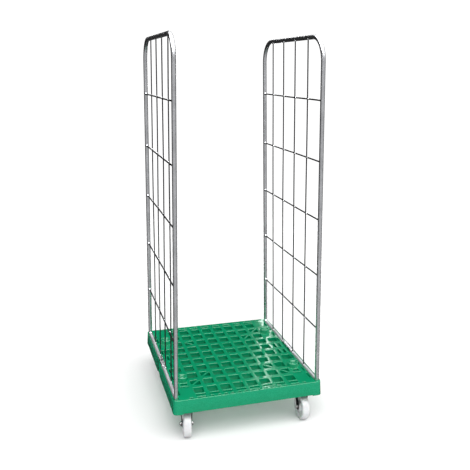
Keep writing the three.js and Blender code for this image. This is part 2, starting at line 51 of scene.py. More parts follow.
DECK_TOP = 215
SKIRT_BOTTOM = 149
DECK_HALF = Vector((362, 407.5))
DECK_CORNER = 20
DECK_DRAFT = 4
FOOT_DROP = 4
FOOT_LENGTH = 46
NOTCH_HALF = 32
NOTCH_RISE = 12
SKIRT_WALL = 8
LATTICE_DEPTH = 38
PITCH = Vector((64.8, 72.4))
CELL = Vector((46, 47))
CELLS_PER_SIDE = 5
DIAGONAL_RIB = 11
TWIN_SLOT_WIDTH = 11
TWIN_SLOT_APART = 14
NARROW_ROW = 367.8
NARROW_CELL = 12
RIM_ROW = 391.8
RIM_SLOT = Vector((14, 7))
LONG_SLOT = Vector((42, 7))
LONG_SLOT_X = 226.8
LAST_SLOT_X = 275.6
SIDE_SLOT_X = 323
SIDE_SLOT = 6
BOSS = Vector((284, 217))
BOSS_SLOT_AHEAD = 66
BOSS_WINDOW_AHEAD = 41
BOSS_WINDOW = Vector((30, 16))
CASTOR_PAD = Vector((84, 113))

RAIL_X = 344.5
RAIL_Z = 212
HALF_DEPTH = 379
TUBE = 10
RAIL = 9
BEND = 105
RUNG = 3.5
WIRE = 3
RUNG_GAP = 264
RUNGS = 5
WIRES = 4
TUBE_FOOT = 152 - RAIL_Z
FRAME_TOP = (RUNGS + 1) * RUNG_GAP
GROOVE_HALF = 11
SOCKET = 11.6
CLIP_HALF = 58
CLIP_SLOT_HALF = 63
LEAN = {"left": math.radians(0.5), "right": math.radians(1.5)}

CASTOR_X = 286
CASTOR_Y = 312
TRAIL = 36
WHEEL = 62.5
FORK_SIDE = 24
FORK_HEAD = 33
PLATE_TOP = 157
PLATE_LOW = 154
PLATE = Vector((80, 105))
PLATE_BOLTS = [(x, y) for x in (-30, 30) for y in (-40, 40)]
HEAD_TOP = 142
FORK_BEND_START = 84.5
EYE = 15
FRONT_LEFT_TURN = math.radians(-7)

SIDES = {"left": -1, "right": 1}

# ---- Camera and light ------------------------------------------------------------------------

SENSOR = 36
LENS = 47.4280851
CAMERA_PLACE = (-0.8059, -2.8659, 1.6559)
CAMERA_YAW, CAMERA_PITCH, CAMERA_ROLL = (
    math.radians(a) for a in (16.406, 14.943, 0.532)
)
FLOOR_REACH = 4
SEEN, AMBIENT, MIRROR_TOP, MIRROR_FRONT, MIRROR_BACK = 1.1, 0.5, 8, 0.55, 0.02


# ---- Materials -------------------------------------------------------------------------------


class Shader:
    """One procedural material, whose nodes are made by calls that nest."""

    def __init__(self, name):
        self.material = bpy.data.materials.new(name)
        self.material.use_nodes = True
        self.nodes = self.material.node_tree.nodes
        self.links = self.material.node_tree.links
        self.surface = self.nodes["Principled BSDF"]
        self.place = self.nodes.new("ShaderNodeTexCoord").outputs["Object"]

    def join(self, value, socket):
        if isinstance(value, bpy.types.NodeSocket):
            self.links.new(value, socket)
        else:
            socket.default_value = value

    def add(self, kind, inputs, **settings):
        node = self.nodes.new(kind)
        for name, value in settings.items():
            setattr(node, name, value)
        for name, value in inputs.items():
            self.join(value, node.inputs[name])
        return node

    def stretched(self, stretch):
        return self.add("ShaderNodeMapping", {"Vector": self.place, "Scale": stretch}).outputs[0]

    def noise(self, scale, detail=3, stretch=None):
        vector = self.stretched(stretch) if stretch else self.place
        inputs = {"Vector": vector, "Scale": scale, "Detail": detail, "Roughness": 0.6}
        return self.add("ShaderNodeTexNoise", inputs).outputs["Fac"]

    def cells(self, scale):
        inputs = {"Vector": self.place, "Scale": scale}
        return self.add("ShaderNodeTexVoronoi", inputs).outputs["Color"]

    def fit(self, value, from_low, from_high, to_low, to_high):
        inputs = {"Value": value, "From Min": from_low, "From Max": from_high}
        inputs |= {"To Min": to_low, "To Max": to_high}
        return self.add("ShaderNodeMapRange", inputs).outputs[0]

    def maths(self, operation, first, second):
        node = self.nodes.new("ShaderNodeMath")
        node.operation = operation
        self.join(first, node.inputs[0])
        self.join(second, node.inputs[1])
        return node.outputs[0]

    def blend(self, amount, first, second):
        node = self.nodes.new("ShaderNodeMix")
        node.data_type = "RGBA"
        self.join(amount, node.inputs["Factor"])
        self.join((*first, 1) if isinstance(first, tuple) else first, node.inputs["A"])
        self.join((*second, 1) if isinstance(second, tuple) else second, node.inputs["B"])
        return node.outputs["Result"]

    def edges(self):
        """1 on outward edges, 0 on flats."""
        pointiness = self.nodes.new("ShaderNodeNewGeometry").outputs["Pointiness"]
        return self.fit(pointiness, 0.5, 0.58, 0, 1)

    def bump(self, height, distance, strength=1.0, under=None):
        inputs = {"Height": height, "Distance": distance, "Strength": strength}
        if under:
            inputs["Normal"] = under
        return self.add("ShaderNodeBump", inputs).outputs[0]

    def finish(self, **sockets):
        for name, value in sockets.items():
            self.join(value, self.surface.inputs[name.replace("_", " ")])
        return self.material


def green_plastic():
    """Injection-moulded polyethylene: a soft gloss, a slight waviness and paler, scuffed edges."""
    shader = Shader("green_polyethylene")
    broad = shader.noise(5, 2)
    fine = shader.noise(260, 4)
    colour = shader.blend(broad, (0.0, 0.225, 0.094), (0.0, 0.265, 0.116))
    worn = shader.maths("MULTIPLY", shader.edges(), shader.fit(fine, 0.4, 0.62, 0.1, 0.5))
    colour = shader.blend(worn, colour, (0.02, 0.42, 0.24))
    scratches = shader.noise(90, 6, (1, 14, 1))
    roughness = shader.maths(
        "ADD", shader.fit(broad, 0.3, 0.7, 0.1, 0.16), shader.fit(scratches, 0.55, 0.75, 0, 0.1)
    )
    wavy = shader.bump(shader.noise(34, 1), 0.0012, 0.35)
    grained = shader.bump(fine, 0.00005, 0.3, wavy)
    return shader.finish(
        Base_Color=colour, Roughness=roughness, Normal=grained, IOR=1.5, Specular_IOR_Level=0.3
    )


def plated_steel(name, dull, bright, smooth, rough, metal=1.0, rubbed=0.4):
    """Zinc on steel: small crystals, duller patches, fine drawing lines and rubbed edges."""
    shader = Shader(name)
    crystals = shader.fit(shader.cells(150), 0.0, 1.0, 0, 0.35)
    patches = shader.fit(shader.noise(14, 5), 0.35, 0.65, 0, 0.65)
    tone = shader.maths("ADD", crystals, patches)
    colour = shader.blend(tone, dull, bright)
    colour = shader.blend(shader.fit(shader.edges(), 0, 1, 0, rubbed), colour, (0.7, 0.7, 0.7))
    grime = shader.fit(shader.noise(60, 6), 0.62, 0.78, 0, 0.55)
    colour = shader.blend(grime, colour, (0.06, 0.058, 0.055))
    roughness = shader.fit(shader.noise(45, 6), 0.3, 0.7, smooth, rough)
    drawn = shader.bump(shader.noise(300, 3, (1, 0.15, 0.15)), 0.00008, 0.4)
    pitted = shader.bump(shader.noise(900, 2), 0.00005, 0.35, drawn)
    return shader.finish(Base_Color=colour, Metallic=metal, Roughness=roughness, Normal=pitted)


def white_nylon():
    """Moulded polyamide: creamy white, faintly translucent, with random dirty patches and varied
    roughness.
    """
    shader = Shader("white_polyamide")
    mottled = shader.noise(40, 5)
    colour = shader.blend(mottled, (0.62, 0.63, 0.64), (0.72, 0.73, 0.74))
    dirt = shader.fit(shader.noise(120, 7), 0.52, 0.78, 0, 0.4)
    colour = shader.blend(dirt, colour, (0.4, 0.39, 0.37))
    roughness = shader.fit(mottled, 0.3, 0.7, 0.3, 0.5)
    grained = shader.bump(shader.noise(500, 3), 0.00008, 0.5)
    return shader.finish(
        Base_Color=colour,
        Roughness=roughness,
        Normal=grained,
        IOR=1.53,
        Subsurface_Weight=0.08,
        Subsurface_Scale=0.004,
    )


MATERIALS = {
    GREEN: green_plastic(),
    ZINC: plated_steel("zinc_plate", (0.52, 0.53, 0.55), (0.82, 0.83, 0.86), 0.2, 0.36),
    BOLT: plated_steel("bright_zinc", (0.35, 0.35, 0.35), (0.65, 0.65, 0.64), 0.18, 0.34),
    NYLON: white_nylon(),
}
RAIL_FINISH = plated_steel("dull_zinc", (0.4, 0.4, 0.42), (0.62, 0.62, 0.66), 0.26, 0.42, 0.5)
# Painted shade: the rungs and upright wires are the same zinc-plated steel as the tubes, given a
# near-black colour that stands in for the shade and dark reflections on them.
WIRE_SHADED_FINISH = plated_steel(
    "wire_zinc_painted_shade", (0.02, 0.02, 0.023), (0.08, 0.08, 0.085), 0.24, 0.42, rubbed=0.04
)
# Painted shade: the castor forks are the same zinc-plated steel, given a near-black colour that stands
# in for the shade and dark reflections on them.
FORK_SHADED_FINISH = plated_steel(
    "pressed_zinc_painted_shade", (0.02, 0.02, 0.023), (0.1, 0.1, 0.11), 0.24, 0.44, rubbed=0.15
)


# ---- Mesh building ---------------------------------------------------------------------------


class Shape:
    """Vertices and faces in millimetres, gathered into one object."""

    def __init__(self):
        self.vertices = []
        self.faces = []

    def rings(self, rings, capped=True, looped=False, around=True):
        """Skins a row of outlines that have the same number of points."""
        start, size = len(self.vertices), len(rings[0])
        for ring in rings:
            self.vertices += [Vector(p) for p in ring]
        count = len(rings)
        for i in range(count if looped else count - 1):
            near, far = start + i * size, start + ((i + 1) % count) * size
            for j in range(size if around else size - 1):
                k = (j + 1) % size
                self.faces.append((near + j, near + k, far + k, far + j))
        if capped and not looped:
            self.faces.append(tuple(range(start, start + size)))
            last = start + (count - 1) * size
            self.faces.append(tuple(range(last, last + size)))
        return self

    def turned(self, profile, sides, place=Matrix.Identity(4), looped=True, ripple=0):
        """Turns (radius, along) points about Z, as a closed ring or, if it meets the axis, a solid."""
        rings = []
        for radius, along in profile:
            ring = []
            for j in range(sides):
                angle = math.tau * (j + 0.5) / sides
                swell = 1
                if ripple:
                    swell += ripple * noise.noise(Vector((3 * angle, along, radius)) * 0.7)
                ring.append(place @ Vector((radius * swell * math.cos(angle),
                                            radius * swell * math.sin(angle), along)))
            rings.append(ring)
        return self.rings(rings, capped=not looped, looped=looped)

    def bar(self, path, radius, sides):
        """A round bar along a path that lies close to a plane of constant X."""
        rings = []
        for i, point in enumerate(path):
            ahead = path[min(i + 1, len(path) - 1)] - path[max(i - 1, 0)]
            across = Vector((1, 0, 0))
            up = ahead.cross(across).normalized()
            across = up.cross(ahead).normalized()
            rings.append([
                point + radius * (math.cos(a) * across + math.sin(a) * up)
                for a in (math.tau * j / sides for j in range(sides))
            ])
        return self.rings(rings)

    def blob(self, centre, size, place=Matrix.Identity(4)):
        """A bead of weld metal, a little uneven."""
        rings = []
        for i in range(1, 6):
            polar = math.pi * i / 6
            ring = []
            for j in range(8):
                angle = math.tau * j / 8
                way = Vector((math.sin(polar) * math.cos(angle), math.sin(polar) * math.sin(angle),
                              math.cos(polar)))
                swell = 1 + 0.22 * noise.noise(way * 1.3 + centre * 0.37)
                ring.append(place @ (centre + swell * Vector(a * b for a, b in zip(way, size))))
            rings.append(ring)
        return self.rings(rings)

    def moved(self, place):
        self.vertices = [place @ v for v in self.vertices]
        return self

    def object(self, name, slot, body, nodes=(), **settings):
        mesh = bpy.data.meshes.new(name)
        mesh.from_pydata([v * MM for v in self.vertices], [], self.faces)
        return as_piece(name, mesh, slot, body, nodes, **settings)


def as_piece(name, mesh, slot, body, nodes=(), bevel=0.0, sheet=0.0, smooth=0, crease=38, flats=False,
             finish=None):
    """Turns a mesh into a finished piece that rides on a body and stands for CAD nodes."""
    worked = bmesh.new()
    worked.from_mesh(mesh)
    bmesh.ops.recalc_face_normals(worked, faces=worked.faces)
    worked.to_mesh(mesh)
    worked.free()
    mesh.materials.append(finish or MATERIALS[slot])
    mesh.shade_smooth()
    mesh.set_sharp_from_angle(angle=math.radians(crease))
    obj = bpy.data.objects.new(name, mesh)
    bpy.context.scene.collection.objects.link(obj)
    if sheet:
        thick = obj.modifiers.new("sheet", "SOLIDIFY")
        thick.thickness = sheet * MM
        thick.offset = -1
        thick.use_even_offset = True
    if smooth:
        rounded = obj.modifiers.new("smooth", "SUBSURF")
        rounded.levels = rounded.render_levels = smooth
    if bevel:
        edge = obj.modifiers.new("edges", "BEVEL")
        edge.width = bevel * MM
        edge.segments = 2
        edge.limit_method = "ANGLE"
        edge.angle_limit = math.radians(crease)
    if flats:
        level = obj.modifiers.new("flats", "WEIGHTED_NORMAL")
        level.weight = 100
        level.keep_sharp = True
    if sheet or smooth or bevel or flats:
        depsgraph = bpy.context.evaluated_depsgraph_get()
        mesh = bpy.data.meshes.new_from_object(obj.evaluated_get(depsgraph))
        obj.modifiers.clear()
        obj.data = mesh
    if bevel or smooth or sheet:
        mesh.shade_smooth()
        mesh.set_sharp_from_angle(angle=math.radians(crease))
    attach(obj, body)
    if nodes:
        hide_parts(*nodes)
    return obj


def rounded(points, radius, steps=3):
    """A closed outline with its corners rounded."""
    outline = []
    count = len(points)
    for i in range(count):
        corner = Vector(points[i])
        before = (Vector(points[i - 1]) - corner).normalized()
        after = (Vector(points[(i + 1) % count]) - corner).normalized()
        half = math.acos(max(-1, min(1, before.dot(after)))) / 2
        cut = radius / math.tan(half)
        for k in range(steps + 1):
            t = k / steps
            blend = (1 - t) ** 2 * before * cut + t**2 * after * cut
            outline.append(corner + blend)
    return outline


def rectangle(x, y, width, length, radius, steps=3):
    a, b = width / 2, length / 2
    corners = [(x - a, y - b), (x + a, y - b), (x + a, y + b), (x - a, y + b)]
    return rounded(corners, radius, steps)


def arc(x, y, radius, start, end, steps):
    angles = (start + (end - start) * k / steps for k in range(steps + 1))
    return [Vector((x + radius * math.cos(a), y + radius * math.sin(a))) for a in angles]


def plate_mesh(loops, low, high, edge, place=Matrix.Identity(4)):
    """A flat plate between two heights, with its openings and with every edge rounded over."""
    curve = bpy.data.curves.new("plate", "CURVE")
    curve.dimensions = "2D"
    curve.fill_mode = "BOTH"
    curve.extrude = ((high - low) / 2 - edge) * MM
    curve.bevel_depth = edge * MM
    curve.bevel_resolution = 2
    curve.offset = -edge * MM
    for loop in loops:
        spline = curve.splines.new("POLY")
        spline.points.add(len(loop) - 1)
        spline.use_cyclic_u = True
        for point, (x, y) in zip(spline.points, loop):
            point.co = (x * MM, y * MM, 0, 1)
    holder = bpy.data.objects.new("plate", curve)
    bpy.context.scene.collection.objects.link(holder)
    depsgraph = bpy.context.evaluated_depsgraph_get()
    mesh = bpy.data.meshes.new_from_object(holder.evaluated_get(depsgraph))
    bpy.data.objects.remove(holder)
    bpy.data.curves.remove(curve)
    mesh.transform(Matrix.Translation((0, 0, (high + low) / 2 * MM)))
    mesh.transform(place)
    mesh.materials.clear()
    worked = bmesh.new()
    worked.from_mesh(mesh)
    bmesh.ops.remove_doubles(worked, verts=worked.verts, dist=1e-6)
    worked.to_mesh(mesh)
    worked.free()
    return mesh


# ---- Deck ------------------------------------------------------------------------------------


def cell_loops(column, row, side_x, side_y):
    """The openings of one lattice cell."""
    x, y = side_x * PITCH.x * (column - 0.5), side_y * PITCH.y * (row - 0.5)
    a, b = CELL / 2
    if column == CELLS_PER_SIDE:
        if row == 1:
            apart = TWIN_SLOT_APART
            return [rectangle(x + d, y, TWIN_SLOT_WIDTH, CELL.y, 3) for d in (-apart, apart)]
        return [rectangle(x, y, *CELL, 5)] if row == 2 else []
    if column == row and row >= 3:
        bite = DIAGONAL_RIB / math.sqrt(2)
        corners = [[(-a, b), (-a, bite - b), (a - bite, b)], [(a, -b), (a, b - bite), (bite - a, -b)]]
        return [
            rounded([(x + side_x * p, y + side_y * q) for p, q in corner], 3) for corner in corners
        ]
    return [rectangle(x, y, *CELL, 5)]


def edge_loops(side_x, side_y):
    """The slots around the lattice, in one quarter of the deck."""
    narrow, rim = side_y * NARROW_ROW, side_y * RIM_ROW
    loops = [
        rectangle(side_x * PITCH.x * (k - 0.5), narrow, CELL.x, NARROW_CELL, 3)
        for k in range(1, CELLS_PER_SIDE)
    ]
    loops += [rectangle(side_x * PITCH.x / 2 * (k - 0.5), rim, *RIM_SLOT, 2) for k in range(1, 7)]
    loops.append(rectangle(side_x * LONG_SLOT_X, rim, *LONG_SLOT, 2))
    loops.append(rectangle(side_x * LAST_SLOT_X, rim, *RIM_SLOT, 2))
    loops.append(rectangle(side_x * BOSS.x, side_y * (BOSS.y + BOSS_SLOT_AHEAD), *LONG_SLOT, 3))
    loops.append(rectangle(side_x * BOSS.x, side_y * (BOSS.y + BOSS_WINDOW_AHEAD), *BOSS_WINDOW, 4))
    loops += [
        rectangle(side_x * SIDE_SLOT_X, side_y * PITCH.y * (row - 0.5), SIDE_SLOT, CELL.y, 2.5)
        for row in range(2, CELLS_PER_SIDE + 1)
    ]
    return loops


def groove_loop(side_x):
    """The channel of one bottom rail, ending in the two sockets and widened beside the clip."""
    inner, outer, slot = RAIL_X - GROOVE_HALF, RAIL_X + GROOVE_HALF, RAIL_X - 15
    rear = arc(RAIL_X, HALF_DEPTH, SOCKET, math.radians(-18), math.radians(198), 14)
    front = arc(RAIL_X, -HALF_DEPTH, SOCKET, math.radians(162), math.radians(378), 14)
    notch = [(inner, CLIP_SLOT_HALF), (slot, CLIP_SLOT_HALF), (slot, -CLIP_SLOT_HALF),
             (inner, -CLIP_SLOT_HALF)]
    points = [*rear, *(Vector(p) for p in notch), *front]
    return [Vector((side_x * p.x, p.y)) for p in points]


def top_half():
    return DECK_HALF - Vector((DECK_DRAFT, DECK_DRAFT))


def build_deck():
    loops = [rectangle(0, 0, *(2 * top_half()), DECK_CORNER - 1, 6)]
    for side_x in SIDES.values():
        loops.append(groove_loop(side_x))
        for side_y in (-1, 1):
            loops += edge_loops(side_x, side_y)
            for column in range(1, CELLS_PER_SIDE + 1):
                for row in range(1, CELLS_PER_SIDE + 1):
                    loops += cell_loops(column, row, side_x, side_y)
    lattice = plate_mesh(loops, DECK_TOP - LATTICE_DEPTH, DECK_TOP, 2.6)
    as_piece("deck_lattice", lattice, GREEN, "deck_body", ["deck"], crease=60, flats=True)
    build_skirt()
    for side, side_x in SIDES.items():
        build_channel(side, side_x)
        for end, side_y in (("front", -1), ("rear", 1)):
            build_corner(f"{end}_{side}", side_x, side_y)


def skirt_low(x, y):
    """Height of the skirt's lower edge: feet at the corners, a notch half way along each side."""
    if abs(x) > DECK_HALF.x - FOOT_LENGTH and abs(y) > DECK_HALF.y - FOOT_LENGTH:
        return SKIRT_BOTTOM - FOOT_DROP
    if abs(y) < NOTCH_HALF and abs(x) > DECK_HALF.x - SKIRT_WALL:
        return SKIRT_BOTTOM + NOTCH_RISE
    return SKIRT_BOTTOM


def skirt_stations():
    """(corner centre, direction, straight run) points around the deck's edge, in one turn."""
    inner = DECK_HALF - Vector((DECK_CORNER, DECK_CORNER))
    stations = []

    def straight(start, end, outward, stops):
        for t in stops:
            stations.append((start.lerp(end, t), outward))

    def stops(length, places):
        marks = [0.02, 0.98]
        for place in places:
            marks += [(place - 0.6) / length, (place + 0.6) / length]
        marks += [k / 12 for k in range(1, 12)]
        return sorted(t for t in marks if 0 < t < 1)

    foot = FOOT_LENGTH - DECK_CORNER
    width, length = 2 * inner.x, 2 * inner.y
    across = stops(width, [foot, width - foot])
    middle = length / 2
    along = stops(length, [foot, middle - NOTCH_HALF, middle + NOTCH_HALF, length - foot])
    corners = [Vector((inner.x, -inner.y)), Vector((inner.x, inner.y)),
               Vector((-inner.x, inner.y)), Vector((-inner.x, -inner.y))]
    for i, corner in enumerate(corners):
        for k in range(9):
            angle = -math.pi / 2 + math.pi / 2 * (i + k / 8)
            stations.append((corner, Vector((math.cos(angle), math.sin(angle)))))
        outward = Vector((math.cos(math.pi / 2 * i), math.sin(math.pi / 2 * i)))
        straight(corner, corners[(i + 1) % 4], outward, along if i % 2 == 0 else across)
    return stations


def build_skirt():
    rings = []
    top = DECK_TOP - 2.4
    for centre, outward in skirt_stations():
        edge = centre + outward * DECK_CORNER
        low = skirt_low(*edge)
        draft = DECK_DRAFT * (top - SKIRT_BOTTOM) / (DECK_TOP - SKIRT_BOTTOM)
        profile = [
            (SKIRT_WALL, DECK_TOP - LATTICE_DEPTH + 3), (SKIRT_WALL, low + 1), (SKIRT_WALL - 1, low),
            (1.4, low), (0.5, low + 0.4), (0.05, low + 1.4), (draft, top), (draft + 2, top + 0.5),
        ]
        rings.append([
            (*(centre + outward * (DECK_CORNER - inset)), height) for inset, height in profile
        ])
    Shape().rings(rings, looped=True).object("deck_skirt", GREEN, "deck_body", crease=50)


def build_channel(side, side_x):
    """The floor of a rail's groove, narrowed beside the clip for the clip's leg."""
    inner, outer, slot = RAIL_X - GROOVE_HALF - 1.5, RAIL_X + GROOVE_HALF + 1, RAIL_X - 8
    end = HALF_DEPTH - SOCKET
    outline = [(outer, -end), (outer, end), (inner, end), (inner, CLIP_SLOT_HALF),
               (slot, CLIP_SLOT_HALF), (slot, -CLIP_SLOT_HALF), (inner, -CLIP_SLOT_HALF), (inner, -end)]
    loop = [Vector((side_x * x, y)) for x, y in outline]
    floor = plate_mesh([loop], DECK_TOP - LATTICE_DEPTH + 1, RAIL_Z - RAIL - 0.3, 0.6)
    as_piece(f"deck_{side}_groove_floor", floor, GREEN, "deck_body", crease=60, flats=True)


def build_corner(name, side_x, side_y):
    """What is moulded into each corner: a socket, a boss and a castor pad."""
    socket = [(SOCKET, DECK_TOP - 8), (SOCKET + 1.7, DECK_TOP - 8), (SOCKET + 1.7, 146), (0.5, 146),
              (0.5, 150), (SOCKET - 0.4, 150)]
    place = Matrix.Translation((side_x * RAIL_X, side_y * HALF_DEPTH, 0))
    Shape().turned(socket, 32, place).object(f"deck_{name}_socket", GREEN, "deck_body")
    boss = [(30, -1), (29.9, 0.2), (28.7, 0.7), (28.1, 1.8), (26.4, 18), (25.8, 20), (24.4, 21.4),
            (22.4, 22), (19.4, 21.8), (17.6, 20.6), (16.4, 17.4), (15, 16.4), (12, 16), (9.5, 16.6),
            (8, 18.4), (6, 19.2), (0.4, 19.4), (0.4, -1)]
    place = Matrix.Translation((side_x * BOSS.x, side_y * BOSS.y, DECK_TOP))
    Shape().turned(boss, 48, place, ripple=0.012).object(f"deck_{name}_boss", GREEN, "deck_body")
    pad = [rectangle(side_x * CASTOR_X, side_y * CASTOR_Y, *CASTOR_PAD, 10, 4)]
    mesh = plate_mesh(pad, PLATE_TOP + 0.3, DECK_TOP - LATTICE_DEPTH + 1, 1.2)
    as_piece(f"deck_{name}_castor_pad", mesh, GREEN, "deck_body", crease=60, flats=True)


# ---- Side frames -----------------------------------------------------------------------------


def wavy(start, end, steps, sway, seed):
    """A path between two points that wanders a little from the straight line."""
    path = []
    for k in range(steps + 1):
        t = k / steps
        hold = math.sin(math.pi * t)
        shift = Vector((noise.noise(Vector((seed, 2.6 * t, 0.5))),
                        noise.noise(Vector((seed, 2.6 * t, 7.5))),
                        noise.noise(Vector((seed, 2.6 * t, 14.5)))))
        path.append(start.lerp(end, t) + shift * sway * hold)
    return path


def tube_path():
    """Up the front upright, over the top and down the rear one."""
    bend_y, bend_z = HALF_DEPTH - BEND, FRAME_TOP - BEND
    front = [Vector((0, -bend_y - p.x, bend_z + p.y)) for p in arc(0, 0, BEND, 0, math.pi / 2, 14)]
    rear = [Vector((0, -p.y, p.z)) for p in reversed(front)]
    straight = [Vector((0, -HALF_DEPTH, TUBE_FOOT + 3 + (bend_z - TUBE_FOOT) * k / 10))
                for k in range(10)]
    back = [Vector((0, -p.y, p.z)) for p in reversed(straight)]
    return [*straight, *front, *rear, *back]


def clip_profile(inward):
    """The clip's outer surface, from the foot of its long leg over the rail to its short one."""
    leg, crown, short = 11.6 * inward, 11.6, -10.6 * inward
    turn = 4 * inward
    left = [(leg, -34), (leg, -20), (leg, -6), (leg, crown - 4)]
    over = [(leg - turn * 0.3, crown - 1.2), (leg - turn, crown), (0, crown), (short + turn, crown),
            (short + turn * 0.3, crown - 1.2)]
    right = [(short, crown - 4), (short, 0), (short, -8)]
    return [*left, *over, *right]


def build_side(side, side_x):
    """One frame as it stands in its sockets, leaning in a little."""
    tilt = Matrix.Rotation(-side_x * LEAN[side], 4, "Y")
    place = Matrix.Translation((side_x * RAIL_X, 0, RAIL_Z)) @ tilt
    inward = -side_x
    frame_body, clip_body = f"{side}_frame", f"{side}_clip"
    reach = HALF_DEPTH - TUBE + 1.5
    tube = Shape().bar(tube_path(), TUBE, 32).moved(place)
    tube.object(f"{side}_bent_tube", ZINC, frame_body, [f"{side}_frame_tube"])
    rail = wavy(Vector((0, -reach, 0)), Vector((0, reach, 0)), 16, 0.25, 3.1 * side_x)
    Shape().bar(rail, RAIL, 28).moved(place).object(
        f"{side}_rail_tube", ZINC, frame_body, [f"{side}_bottom_rail"], finish=RAIL_FINISH)
    welds = Shape()
    wire_x = inward * (RUNG + WIRE - 0.2)
    wire_y = [-HALF_DEPTH + 2 * HALF_DEPTH * k / (WIRES + 1) for k in range(1, WIRES + 1)]
    fillet = [(RUNG - 0.2, 7), (RUNG + 0.6, 5), (RUNG + 1.4, 3), (RUNG + 3, 1.2), (RUNG + 3.4, -2),
              (0.5, -3), (0.5, 7)]
    for k in range(1, RUNGS + 1):
        height = k * RUNG_GAP
        path = wavy(Vector((0, -reach, height)), Vector((0, reach, height)), 24, 1.6, k + side_x)
        Shape().bar(path, RUNG, 16).moved(place).object(
            f"{side}_cross_bar_{k}", ZINC, frame_body, [f"{side}_rung_{k}"], finish=WIRE_SHADED_FINISH)
        for end in (-1, 1):
            turn = Matrix.Rotation(end * math.pi / 2, 4, "X")
            spot = Matrix.Translation((0, end * (HALF_DEPTH - TUBE), height)) @ turn
            welds.turned(fillet, 12, spot, ripple=0.12)
        for y in wire_y:
            welds.blob(Vector((inward * RUNG, y, height)), (3.6, 4.4, 4.4))
    for k, y in enumerate(wire_y, 1):
        path = wavy(Vector((wire_x, y, RAIL - 2)), Vector((wire_x, y, FRAME_TOP - 4)), 40, 2.4,
                    10 + k * side_x)
        Shape().bar(path, WIRE, 14).moved(place).object(
            f"{side}_upright_wire_{k}", ZINC, frame_body, [f"{side}_wire_{k}"], finish=WIRE_SHADED_FINISH)
        welds.blob(Vector((wire_x, y, RAIL - 1)), (4, 4.6, 4))
        welds.blob(Vector((wire_x, y, FRAME_TOP - TUBE + 1.5)), (4, 4.6, 4))
    collar = [(RAIL - 0.5, 4), (RAIL + 0.9, 2.8), (RAIL + 1.5, 0.6), (RAIL + 1.2, -3), (2, -4), (2, 4)]
    for end in (-1, 1):
        turn = Matrix.Rotation(end * math.pi / 2, 4, "X")
        spot = Matrix.Translation((0, end * (HALF_DEPTH - TUBE), 0)) @ turn
        welds.turned(collar, 24, spot, ripple=0.04)
    welds.moved(place).object(f"{side}_frame_welds", ZINC, frame_body, crease=60)
    build_clip(side, inward, place, clip_body)


def build_clip(side, inward, place, body):
    rows = []
    for y, foot in ((-CLIP_HALF, 5), (-CLIP_HALF + 5, 0), (0, 0), (CLIP_HALF - 5, 0), (CLIP_HALF, 5)):
        row = [Vector((x, y, z)) for x, z in clip_profile(inward)]
        row[0].z += foot
        row[-1].z += foot * 0.4
        rows.append(row)
    shape = Shape().rings(rows, capped=False, around=False).moved(place)
    shape.object(f"{side}_spring_clip", ZINC, body, [f"{side}_locking_clip"], sheet=1.3, bevel=0.35)


# ---- Castors ---------------------------------------------------------------------------------


def on_axle(axle_y):
    """Places a piece turned about Z on the wheel's axle, along +X."""
    return Matrix.Translation((0, axle_y, WHEEL)) @ Matrix.Rotation(math.pi / 2, 4, "Y")


WHEEL_HALF = [
    (9.4, 19.2), (10, 20), (18.6, 20), (19.8, 19.4), (20.6, 17.6), (21.6, 10.4), (22.6, 8.6), (24.6, 8),
    (34, 7.6), (42.6, 8), (44.6, 8.7), (45.8, 10.6), (46.8, 16.4), (47.8, 18), (49.2, 18.5),
    (54.6, 18.5), (57.2, 18.1), (59.6, 16.9), (61.4, 14.8), (62.2, 12), (62.42, 8), (62.5, 3),
]


def build_wheel(name, body, place, axle_y):
    spot = place @ on_axle(axle_y)
    profile = [*WHEEL_HALF, *((r, -a) for r, a in reversed(WHEEL_HALF))]
    wheel = Shape().turned(profile, 72, spot)
    wheel.object(f"{name}_nylon_wheel", NYLON, body, [f"{name}_wheel"], crease=48)


def build_axle(name, body, place, axle_y):
    spot = place @ on_axle(axle_y)
    bush = [(5.3, 20.7), (8.4, 20.7), (9, 20.1), (9, -20.1), (8.4, -20.7), (5.3, -20.7)]
    Shape().turned(bush, 32, spot).object(f"{name}_spacer", BOLT, body, [f"{name}_bush"])
    side = FORK_SIDE
    shank = [(0.2, side + 1), (0.2, -side - 10.4), (4.2, -side - 10.4), (5, -side - 9.6),
             (5, side + 1)]
    bolt = Shape().turned(shank, 24, spot)
    head = [(0.2, side + 0.3), (0.2, side + 6.8), (8, side + 6.8), (9.4, side + 5.9), (9.4, side + 1.4),
            (9.4, side + 0.3)]
    bolt.turned(head, 6, spot)
    bolt.object(f"{name}_hex_bolt", BOLT, body, [f"{name}_axle_bolt"], bevel=0.35, crease=28)
    nut = [(5.2, -side - 0.3), (9.4, -side - 0.3), (9.4, -side - 5.4), (8.6, -side - 6.2),
           (6.9, -side - 6.4), (6.7, -side - 7.6), (6.2, -side - 8), (5.2, -side - 8)]
    Shape().turned(nut, 6, spot).object(f"{name}_lock_nut", BOLT, body, [f"{name}_axle_nut"],
                                        bevel=0.3, crease=28)


def fork_arch(head_z, bend):
    """(x, z) of the fork's outer surface, from one eye's foot over the head to the other's."""
    half = [(FORK_SIDE, z) for z in (48, 50.5, 54, 58, 62.5, 68, 74, 80, FORK_BEND_START)]
    lean = (FORK_HEAD - FORK_SIDE) / (head_z - FORK_BEND_START)
    for z in (90, 100, 112, 124, head_z - bend):
        half.append((FORK_SIDE + (z - FORK_BEND_START) * lean, z))
    top_x = FORK_SIDE + (head_z - bend - FORK_BEND_START) * lean
    for angle in (30, 60, 90):
        a = math.radians(angle)
        half.append((top_x - bend + bend * math.cos(a), head_z - bend + bend * math.sin(a)))
    half += [(16, head_z), (6, head_z)]
    return [*((-x, z) for x, z in half), *((x, z) for x, z in reversed(half))]


